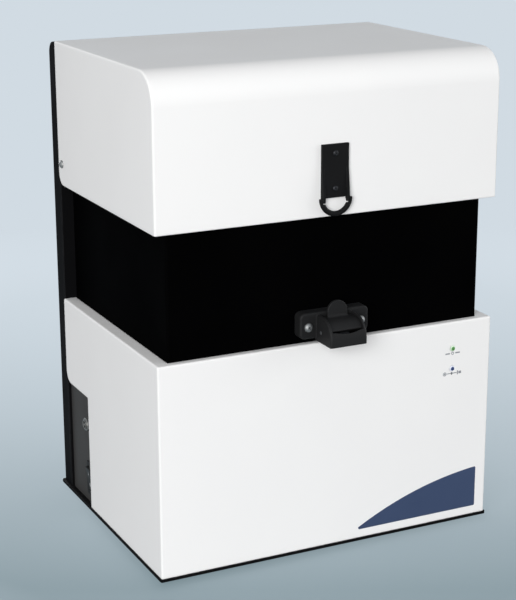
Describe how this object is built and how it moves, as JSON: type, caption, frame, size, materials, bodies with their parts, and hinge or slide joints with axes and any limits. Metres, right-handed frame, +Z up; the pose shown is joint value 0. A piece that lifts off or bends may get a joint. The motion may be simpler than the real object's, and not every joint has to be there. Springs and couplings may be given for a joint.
{
  "type": "haze meter",
  "caption": "Bench haze meter with white lower and upper covers and a black sample hood between them that slides up and is hooked open by a sprung catch on a hanging ring.",
  "frame": {"origin": "middle of the whole part's box, on the surface that the feet stand on", "axes": "+X to the right seen from the front, +Y to the back, +Z up; the front faces -Y"},
  "size_m": [0.306, 0.2584, 0.4059],
  "materials": {
    "white_paint": "smooth satin white powder coat",
    "black_paint": "matt black powder coat",
    "hood_black": "deep matt black paint",
    "panel_grey": "dark grey satin paint",
    "foot_rubber": "matt black rubber",
    "seal_foam": "black closed-cell foam",
    "black_plastic": "fine-grained black moulding",
    "rocker_plastic": "glossy black moulding",
    "bright_steel": "polished stainless steel",
    "black_steel": "black oxide",
    "spring_steel": "spring steel",
    "nickel": "nickel plate",
    "green_lens": "clear green plastic",
    "blue_lens": "clear blue plastic",
    "black_anodised": "black anodised",
    "bare_aluminium": "milled",
    "white_coating": "matt white diffusing coat",
    "motor_grey": "grey paint",
    "circuit_board": "green circuit board",
    "lens_glass": "coated optical glass",
    "zinc_steel": "zinc-plated steel"
  },
  "bodies": {
    "casing": {"base_plate": "black_paint", "rubber_feet": "foot_rubber", "foot_screws": "zinc_steel", "lower_cover": "white_paint", "lower_cover_screws": "zinc_steel", "upper_cover": "white_paint", "upper_cover_screws": "bright_steel", "rear_frame": "black_paint", "rear_cover": "black_paint", "rear_spacers": "zinc_steel", "rear_cover_screws": "black_steel", "side_panel": "panel_grey", "power_jack": "nickel", "jack_nut": "nickel", "power_switch_body": "black_plastic", "power_lamp_lens": "green_lens", "measure_lamp_lens": "blue_lens", "lamp_board": "circuit_board", "sample_stage": "black_anodised", "port_ring": "black_anodised", "stage_seal": "seal_foam", "stage_posts": "bare_aluminium", "stage_screws": "black_steel", "sphere_upper": "white_coating", "sphere_lower": "white_coating", "detector_housing": "black_anodised", "detector_board": "circuit_board", "shutter_motor": "motor_grey", "light_trap": "black_anodised", "hood_rails": "black_anodised", "upper_shelf": "black_paint", "shelf_screws": "black_steel", "lens_barrel": "black_anodised", "objective_lens": "lens_glass", "condenser_lens": "lens_glass", "aperture_disc": "black_anodised", "lamp_module": "bare_aluminium", "heat_sink": "bare_aluminium", "driver_board": "circuit_board", "driver_spacers": "zinc_steel", "main_board": "circuit_board", "main_spacers": "zinc_steel", "ring_plate": "black_steel", "ring_plate_screws": "black_steel"},
    "sample_hood": {"hood": "hood_black", "hood_runners": "black_plastic", "catch_housing": "black_plastic", "catch_screws": "bright_steel", "catch_nuts": "zinc_steel", "catch_pin": "zinc_steel", "catch_spring": "spring_steel"},
    "catch_lever": {"catch_lever": "black_plastic"},
    "keeper_ring": {"keeper_ring": "black_steel"},
    "power_rocker": {"power_switch_rocker": "rocker_plastic"},
    "shutter": {"shutter_arm": "bare_aluminium", "white_standard": "white_coating", "shutter_shaft": "zinc_steel"}
  },
  "joints": [
    {"name": "hood_slide", "type": "slide", "parent": "casing", "child": "sample_hood", "axis": [0, 0, 1], "range_m": [0, 0.0752]},
    {"name": "catch_pivot", "type": "hinge", "parent": "sample_hood", "child": "catch_lever", "pos_m": [0, -0.11235, 0.1949], "axis": [1, 0, 0], "range_deg": [0, 10], "stiffness_Nm_per_rad": 0.25, "springref_deg": -17.19, "deforming": ["catch_spring"]},
    {"name": "ring_swing", "type": "hinge", "parent": "casing", "child": "keeper_ring", "pos_m": [0, -0.10475, 0.2983], "axis": [-1, 0, 0], "range_deg": [0, 110]},
    {"name": "rocker_tip", "type": "hinge", "parent": "casing", "child": "power_rocker", "pos_m": [-0.1462, 0.06445, 0.0304], "axis": [0, 1, 0], "range_deg": [0, 14]},
    {"name": "shutter_swing", "type": "hinge", "parent": "casing", "child": "shutter", "pos_m": [-0.062, -0.00185, 0.0474], "axis": [0, 0, 1], "range_deg": [0, 60]}
  ]
}
